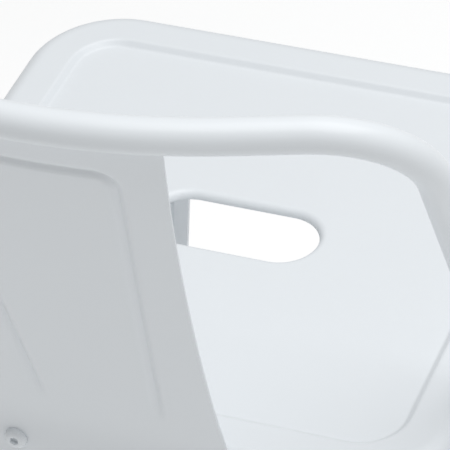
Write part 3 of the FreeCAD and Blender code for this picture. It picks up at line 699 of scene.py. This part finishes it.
class STOOL_OT_brace(bpy.types.Operator):
    """Bend the two bars of the brace and rivet them where they cross"""

    bl_idname = "stool.brace"
    bl_label = "Brace"

    def execute(self, context):
        scene = context.scene
        seat, legs = scene.stool_seat, scene.stool_legs
        shape = LegShape(scene)
        upper = seat.height - legs.brace_drop
        half_width = legs.brace_width / 2

        def reach(height):
            flat = shape.at("half", height) - shape.at("corner", height)
            hollow = shape.at("corner", height) - seat.sheet
            return flat * sqrt(2) + sqrt(hollow ** 2 - half_width ** 2) - legs.gap

        bars = (("brace_bar_upper", upper, 45), ("brace_bar_lower", upper - legs.brace_thick, 135))
        for name, top, turn in bars:
            clear_selection()
            low = top - legs.brace_tab
            bpy.ops.mesh.primitive_plane_add(
                size=2 * reach(top), location=(0, -half_width, top - reach(top)),
                rotation=(pi / 2, 0, 0))
            bar = begin(name + "_shape")
            bottom = top - 2 * reach(top)
            pick(bar, lambda e: e.z < bottom + NEAR, "EDGE")
            bpy.ops.mesh.delete(type="EDGE")
            for side in (1, -1):
                pick(bar, lambda v: v.z < bottom + NEAR and v.x * side > 0)
                shift(side * (reach(low) - reach(top)), 0, low - bottom)
            pick(bar, lambda v: v.z > top - NEAR)
            bpy.ops.mesh.bevel(offset=1.5 * legs.brace_thick, segments=6, affect="VERTICES")
            bpy.ops.mesh.select_all(action="SELECT")
            push(y=legs.brace_width)
            outward()
            thicken(bar, legs.brace_thick, CUT_EDGE)
            finish(bar, coat_of(scene), "enamel", name, radians(turn))

        # The rivet: a shank with a domed head at each end.
        clear_selection()
        stack = 2 * legs.brace_thick
        bpy.ops.mesh.primitive_cylinder_add(
            vertices=40, radius=RIVET_SHANK, depth=stack, end_fill_type="NGON",
            location=(0, 0, upper - legs.brace_thick))
        rivet = begin("brace_rivet_shape")
        ball = (legs.rivet_head ** 2 + legs.rivet_dome ** 2) / (2 * legs.rivet_dome)
        widest = acos((ball - legs.rivet_dome) / ball)
        for level in (upper, upper - stack):
            pick(rivet, lambda f: abs(f.z - level) < NEAR, "FACE")
            push()
            stretch((legs.rivet_head / RIVET_SHANK, legs.rivet_head / RIVET_SHANK, 1), (0, 0, level))
            steps = list(arc_steps(ball, 0.0, widest, 7))
            for across, down in reversed(steps[1:]):
                step_in(across, down)
        outward()
        bpy.ops.object.mode_set(mode="OBJECT")
        finish(rivet, coat_of(scene), "enamel", "brace_rivet")
        return {"FINISHED"}


# ---------------------------------------------------------------- back

TUBE_SIDES = 40
PLAN_STEPS = 20
BEND_STEPS = 28
TAPER_STEPS = 8
END_TURNS = (15, 30, 45, 60, 75, 86)


def eased(share):
    return share * share * (3 - 2 * share)


class STOOL_OT_back_hoop(bpy.types.Operator):
    """Bend the tube of the back hoop and press its ends flat for their bolts"""

    bl_idname = "stool.back_hoop"
    bl_label = "Back Hoop"

    def execute(self, context):
        seat, back = context.scene.stool_seat, context.scene.stool_back
        gap = context.scene.stool_legs.gap
        height = seat.height + back.rise
        clear_selection()
        bpy.ops.mesh.primitive_circle_add(
            vertices=TUBE_SIDES, radius=back.tube, location=(0, back.setback, height),
            rotation=(0, pi / 2, 0))
        tube = begin("back_hoop_tube")

        # The centre line's corner, and the directions of the two straight runs that meet there.
        angle, radius = back.plan_angle, back.plan_radius
        side_x = seat.side / 2 + back.side_gap + back.tube
        corner_y = (back.setback - radius * (1 - cos(angle))
                    - (side_x - radius * sin(angle)) * tan(angle))
        corner = Vector((side_x, corner_y, height))
        across = Vector((cos(angle), -sin(angle), 0))
        down = Vector((0, -sin(back.lean), -cos(back.lean)))
        turn = acos(across.dot(down))
        cut = back.bend * tan(turn / 2)
        curve_end = Vector((radius * sin(angle), back.setback - radius * (1 - cos(angle)), height))
        bend_start = corner - across * cut
        bend_end = corner + down * cut
        square = (down - across * across.dot(down)).normalized()

        bpy.ops.mesh.select_all(action="SELECT")
        bpy.ops.mesh.spin(steps=PLAN_STEPS, angle=angle, axis=(0, 0, 1),
                          center=(0, back.setback - radius, height))
        push(*(bend_start - curve_end))
        bpy.ops.mesh.spin(steps=BEND_STEPS, angle=-turn, axis=across.cross(down).normalized(),
                          center=bend_start + square * back.bend)

        # Straight down to where the tube starts to flatten.
        round_end = back.lug_taper - back.lug_width / 2 + back.tube_wall
        lug_start = corner + down * ((back.rise - round_end) / cos(back.lean))
        push(*(lug_start - bend_end))
        inward = side_x - (seat.side / 2 + gap + back.lug_thick / 2)
        at = lug_start
        wide, thick = back.tube, back.tube
        for i in range(1, TAPER_STEPS + 1):
            share = eased(i / TAPER_STEPS)
            new_wide = back.tube + (back.lug_width / 2 - back.tube) * share
            new_thick = back.tube + (back.lug_thick / 2 - back.tube) * share
            new_at = lug_start + down * (back.lug_taper * i / TAPER_STEPS)
            new_at.x -= inward * share
            push(*(new_at - at))
            at = new_at
            self.press(at, down, wide, thick, new_wide, new_thick)
            self.flatten(tube, at, down, new_wide, new_thick, share)
            wide, thick = new_wide, new_thick

        # On to the bolt, then a round end about it.
        bolt = corner + down * ((back.rise + back.bolt_drop) / cos(back.lean))
        bolt.x = at.x
        push(*(bolt - at))
        for before, after in zip((0,) + END_TURNS, END_TURNS):
            run = wide * (sin(radians(after)) - sin(radians(before)))
            push(*(down * run))
            at = bolt + down * (wide * sin(radians(after)))
            shrink = cos(radians(after)) / cos(radians(before))
            self.press(at, down, 1.0, 1.0, shrink, 1.0)
        bpy.ops.mesh.edge_face_add()
        outward()
        bpy.ops.object.mode_set(mode="OBJECT")
        modify(tube, "MIRROR", use_axis=(True, False, False), use_clip=True,
               merge_threshold=NEAR)
        finish(tube, coat_of(context.scene), "enamel", "back_hoop")
        return {"FINISHED"}

    def press(self, at, down, wide, thick, new_wide, new_thick):
        """Widen the selected ring across the lug and thin it towards the skirt."""
        lean = Matrix.Rotation(-acos(-down.z), 3, "X")
        bpy.ops.transform.resize(value=(new_thick / thick, new_wide / wide, 1),
                                 orient_type="GLOBAL", orient_matrix=lean,
                                 orient_matrix_type="GLOBAL", center_override=at)

    def flatten(self, tube, at, down, wide, thick, share):
        """Flatten the two broad sides of the ring at a point of the centre line."""
        flat = (wide - thick * share) * share + NEAR
        side = down.cross(Vector((1, 0, 0)))

        def on_ring(v):
            return v.x > 0 and abs((v - at).dot(down)) < NEAR * 5

        for face in (1, -1):
            chosen = pick(tube, lambda v: on_ring(v) and abs((v - at).dot(side)) < flat
                          and (v.x - at.x) * face > 0)
            if chosen:
                stretch((1 - share, 1, 1), at + Vector((thick * face, 0, 0)))
        pick(tube, on_ring)


SPLAT_COLUMNS = 16
SPLAT_DETAIL = 3
SPLAT_BEND = 0.012
GROOVE_FADE = 0.016
SPLAT_TAB_ROWS = (0.0, 0.0006, 0.002, 0.0045, 0.008, 0.014, 0.021, 0.026, 0.029)
SPLAT_ROWS = (0.0, 0.002, 0.005, 0.010, 0.018, 0.028, 0.040, 0.053, 0.066, 0.079, 0.092,
              0.105, 0.118, 0.131, 0.144, 0.157, 0.170, 0.183, 0.196, 0.206, 0.215, 0.2225)


class STOOL_OT_back_splat(bpy.types.Operator):
    """Press the splat: waisted, bowed towards the hoop, with a groove near its edges"""

    bl_idname = "stool.back_splat"
    bl_label = "Back Splat"

    def execute(self, context):
        seat, back = context.scene.stool_seat, context.scene.stool_back
        clear_selection()
        rises = [row - back.foot_drop for row in SPLAT_TAB_ROWS] + list(SPLAT_ROWS)
        face_y = seat.side / 2 + context.scene.stool_legs.gap
        lean = back.setback - back.splat_thick / 2 - face_y
        waist = back.splat_waist
        below = -1.0
        bpy.ops.mesh.primitive_grid_add(
            x_subdivisions=SPLAT_COLUMNS, y_subdivisions=len(rises) - 1, size=2 * waist,
            location=(0, face_y, below), rotation=(pi / 2, 0, 0))
        splat = begin("back_splat_sheet")

        # Bow the whole sheet as it is under the hoop, then ease each row to its own bow.
        for i in range(1, SPLAT_COLUMNS // 2 + 1):
            x = waist * 2 * i / SPLAT_COLUMNS
            pick(splat, lambda v: abs(abs(v.x) - x) < NEAR)
            shift(y=-x * x / (2 * back.plan_radius))
        pitch = 2 * waist / (len(rises) - 1)
        for i, rise in enumerate(rises):
            row_z = below - waist + pitch * i
            share = self.bent_rise(rise) / back.rise
            factor = self.half_width(back, rise) / waist
            pick(splat, lambda v: abs(v.z - row_z) < pitch / 4)
            stretch((factor, factor * factor * share, 1), (0, face_y, row_z))
            shift(0, lean * share, seat.height + rise - row_z)
        outward()
        bpy.ops.object.mode_set(mode="OBJECT")
        modify(splat, "SUBSURF", levels=SPLAT_DETAIL, render_levels=SPLAT_DETAIL,
               boundary_smooth="PRESERVE_CORNERS")
        self.press_groove(splat, seat, back)
        thicken(splat, back.splat_thick, SPLAT_EDGE, inward=1.0)
        finish(splat, coat_of(context.scene), "enamel", "back_splat")
        return {"FINISHED"}

    def bent_rise(self, rise):
        """Height that leans back, eased over the bend where the splat leaves the seat."""
        if abs(rise) < SPLAT_BEND:
            return (rise + SPLAT_BEND) ** 2 / (4 * SPLAT_BEND)
        return max(rise, 0.0)

    def half_width(self, back, rise):
        """Half of the width at a height above the rim, with the lower corners rounded."""
        above = rise > back.waist_rise
        end = back.splat_top if above else back.splat_foot
        end_rise = back.rise - back.tube if above else -back.foot_drop
        share = (rise - back.waist_rise) / (end_rise - back.waist_rise)
        half = back.splat_waist + (end - back.splat_waist) * share ** 2
        missing = max(0.0, back.foot_corner - (rise + back.foot_drop))
        return half - back.foot_corner + sqrt(back.foot_corner ** 2 - missing ** 2)

    def press_groove(self, splat, seat, back):
        """Press a groove shaped like an arch, which fades out above the rim."""
        group = splat.vertex_groups.new(name="groove")
        corner = back.groove_corner
        for vertex in splat.data.vertices:
            rise = vertex.co.z - seat.height
            side = abs(vertex.co.x) - (back.groove_half + back.groove_flare * rise) + corner
            top = rise - back.groove_top + corner
            outside = Vector((max(side, 0.0), max(top, 0.0))).length
            away = abs(outside + min(max(side, top), 0.0) - corner)
            share = min(1.0, away / (back.groove_width / 2))
            fade = eased(min(1.0, max(0.0, (rise - back.groove_foot) / GROOVE_FADE + 0.5)))
            weight = (1 - eased(share)) * fade
            if weight > 0:
                group.add([vertex.index], weight, "REPLACE")
        modify(splat, "DISPLACE", strength=-back.groove_depth, mid_level=0.0,
               direction="NORMAL", vertex_group="groove")
        splat.vertex_groups.clear()


# ---------------------------------------------------------------- fasteners

BOLT_SIDES = 48
SHANK_POINT = 0.0004
HEAD_RIM_SHARE = 0.25
HEAD_CROWN_SHARE = 0.45
KEPT_FASTENERS = ("splat_washers", "splat_nuts", "hoop_washers", "hoop_nuts")


class STOOL_OT_fasteners(bpy.types.Operator):
    """Turn the button-head screws, and coat the washers and nuts behind them"""

    bl_idname = "stool.fasteners"
    bl_label = "Fasteners"

    def execute(self, context):
        scene = context.scene
        seat, back = scene.stool_seat, scene.stool_back
        gap = scene.stool_legs.gap
        level = seat.height - back.bolt_drop
        side_x = seat.side / 2 + back.side_gap + back.tube
        angle, radius = back.plan_angle, back.plan_radius
        corner_y = (back.setback - radius * (1 - cos(angle))
                    - (side_x - radius * sin(angle)) * tan(angle))
        lug_y = corner_y - (back.rise + back.bolt_drop) * tan(back.lean)
        face = seat.side / 2 + gap
        for node, plate, place, turn in (
                ("splat_bolts", back.splat_thick,
                 (back.bolt_spread, face + back.splat_thick, level), (-pi / 2, 0, 0)),
                ("hoop_bolts", back.lug_thick,
                 (face + back.lug_thick, lug_y, level), (0, pi / 2, 0))):
            stack = seat.sheet + gap + plate + back.washer + back.nut + back.bolt_end
            bolt = self.bolt(back, node + "_shape", stack)
            bolt.location = place
            bolt.rotation_euler = turn
            bolt.select_set(True)
            bpy.context.view_layer.objects.active = bolt
            bpy.ops.object.transform_apply(location=True, rotation=True, scale=True)
            modify(bolt, "MIRROR", use_axis=(True, False, False), use_mirror_merge=False)
            finish(bolt, screw_coat_of(scene), "screws", node)
        for node in KEPT_FASTENERS:
            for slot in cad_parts[node].material_slots:
                slot.material = screw_coat_of(scene)
        return {"FINISHED"}

    def bolt(self, back, name, stack):
        """A button head on Z = 0 with its shank below, and a hexagon socket in its crown."""
        clear_selection()
        shank, head = back.bolt_shank, back.head_radius
        bpy.ops.mesh.primitive_cylinder_add(
            vertices=BOLT_SIDES, radius=shank, depth=stack, end_fill_type="NGON",
            location=(0, 0, -stack / 2))
        bolt = begin(name)
        pick(bolt, lambda f: f.z < NEAR - stack, "FACE")
        step_in(SHANK_POINT, 0)
        pick(bolt, lambda f: abs(f.z) < NEAR, "FACE")
        push()
        stretch((head / shank, head / shank, 1), (0, 0, 0))
        push(z=HEAD_RIM_SHARE * back.head_height)
        run = head * (1 - HEAD_CROWN_SHARE)
        rise = back.head_height * (1 - HEAD_RIM_SHARE)
        ball = (run ** 2 + rise ** 2) / (2 * rise)
        steps = list(arc_steps(ball, 0.0, acos((ball - rise) / ball), 8))
        for across, down in reversed(steps):
            step_in(across, down)
        outward()
        bpy.ops.object.mode_set(mode="OBJECT")
        clear_selection()
        bpy.ops.mesh.primitive_cylinder_add(
            vertices=6, radius=back.socket_flats / sqrt(3), depth=2 * back.socket_depth,
            location=(0, 0, back.head_height))
        cutter = bpy.context.object
        clear_selection()
        modify(bolt, "BOOLEAN", operation="DIFFERENCE", object=cutter, solver="EXACT")
        bpy.data.objects.remove(cutter, do_unlink=True)
        round_edges(bolt, BOLT_EDGE, 2, radians(35))
        return bolt


# ---------------------------------------------------------------- stage

VIEW_TURN = radians(23.879)
VIEW_RISE = radians(39.334)
VIEW_ROLL = radians(-4.762)
VIEW_DISTANCE = 1.7483
VIEW_TARGET = Vector((0.002777, -0.000226, 0.0))
# One millimetre at the target spans VIEW_SCALE of the picture's PICTURE_WIDTH units.
VIEW_SCALE = 2.05
PICTURE_WIDTH = 450
MM_PER_METRE = 1000
KEY_PLACE = (-0.7, -0.05, 3.1)
KEY_SIZE = 2.5
KEY_POWER = 60.0
SKY_STRENGTH = 0.37
FLOOR_GLOW = 0.22
SENSOR = 36.0


class STOOL_OT_stage(bpy.types.Operator):
    """Set the pale floor, the soft lights and the camera"""

    bl_idname = "stool.stage"
    bl_label = "Stage"

    def execute(self, context):
        scene = context.scene
        clear_selection()
        bpy.ops.mesh.primitive_plane_add(size=14.0, location=(0, 0, 0))
        floor = context.object
        floor.name = "floor"
        floor.data.materials.append(
            shared("plain_floor", plain_floor, tuple(scene.stool_colours.floor), FLOOR_GLOW))

        world = bpy.data.worlds.new("studio")
        world.use_nodes = True
        sky = world.node_tree.nodes["Background"]
        sky.inputs["Color"].default_value = (1.0, 1.0, 1.0, 1.0)
        sky.inputs["Strength"].default_value = SKY_STRENGTH
        scene.world = world
        scene.view_settings.view_transform = "Standard"
        self.softbox("overhead", KEY_PLACE, KEY_SIZE, KEY_POWER)
        self.camera(scene)
        return {"FINISHED"}

    def softbox(self, name, place, size, power):
        """A square soft light that points at the seat."""
        light = bpy.data.lights.new(name, "AREA")
        light.energy = power
        light.size = size
        box = bpy.data.objects.new(name, light)
        bpy.context.scene.collection.objects.link(box)
        box.location = place
        aim = Vector((0, SEAT_Y, 0.6)) - box.location
        box.rotation_euler = aim.to_track_quat("-Z", "Y").to_euler()

    def camera(self, scene):
        """A long lens behind the sitter's right shoulder, looking down at the seat."""
        around = pi + VIEW_TURN
        back = Vector((sin(around) * cos(VIEW_RISE), -cos(around) * cos(VIEW_RISE),
                       sin(VIEW_RISE)))
        right = (-back).cross(Vector((0, 0, 1))).normalized()
        up = back.cross(right)
        turned_right = right * cos(VIEW_ROLL) + up * sin(VIEW_ROLL)
        turned_up = up * cos(VIEW_ROLL) - right * sin(VIEW_ROLL)
        lens = bpy.data.cameras.new("view")
        lens.sensor_width = SENSOR
        lens.lens = VIEW_SCALE * VIEW_DISTANCE * MM_PER_METRE / PICTURE_WIDTH * SENSOR
        eye = bpy.data.objects.new("view", lens)
        scene.collection.objects.link(eye)
        pose = Matrix((turned_right, turned_up, back)).transposed().to_4x4()
        target = VIEW_TARGET + Vector((0, SEAT_Y, scene.stool_seat.height))
        pose.translation = target + back * VIEW_DISTANCE
        eye.matrix_world = pose
        scene.camera = eye


# ---------------------------------------------------------------- panel and registration

OPERATORS = (STOOL_OT_seat_pan, STOOL_OT_legs, STOOL_OT_feet, STOOL_OT_rails, STOOL_OT_brace,
             STOOL_OT_back_hoop, STOOL_OT_back_splat, STOOL_OT_fasteners, STOOL_OT_stage)
GROUPS = (("stool_seat", StoolSeatSizes), ("stool_legs", StoolLegSizes),
          ("stool_back", StoolBackSizes), ("stool_colours", StoolColours))


class STOOL_PT_panel(bpy.types.Panel):
    """Lists the sizes, the colours and the operators"""

    bl_idname = "STOOL_PT_panel"
    bl_label = "Counter Stool"
    bl_space_type = "VIEW_3D"
    bl_region_type = "UI"
    bl_category = "Stool"

    def draw(self, context):
        for name, group in GROUPS:
            box = self.layout.box()
            for key in group.__annotations__:
                box.prop(getattr(context.scene, name), key)
        for operator in OPERATORS:
            self.layout.operator(operator.bl_idname)


def register():
    for _, group in GROUPS:
        bpy.utils.register_class(group)
    for name, group in GROUPS:
        setattr(bpy.types.Scene, name, bpy.props.PointerProperty(type=group))
    for operator in OPERATORS:
        bpy.utils.register_class(operator)
    bpy.utils.register_class(STOOL_PT_panel)


def unregister():
    bpy.utils.unregister_class(STOOL_PT_panel)
    for operator in reversed(OPERATORS):
        bpy.utils.unregister_class(operator)
    for name, _ in reversed(GROUPS):
        delattr(bpy.types.Scene, name)
    for _, group in reversed(GROUPS):
        bpy.utils.unregister_class(group)


def main():
    register()
    for operator in OPERATORS:
        group, name = operator.bl_idname.split(".")
        getattr(getattr(bpy.ops, group), name)()


if __name__ == "__main__":
    main()
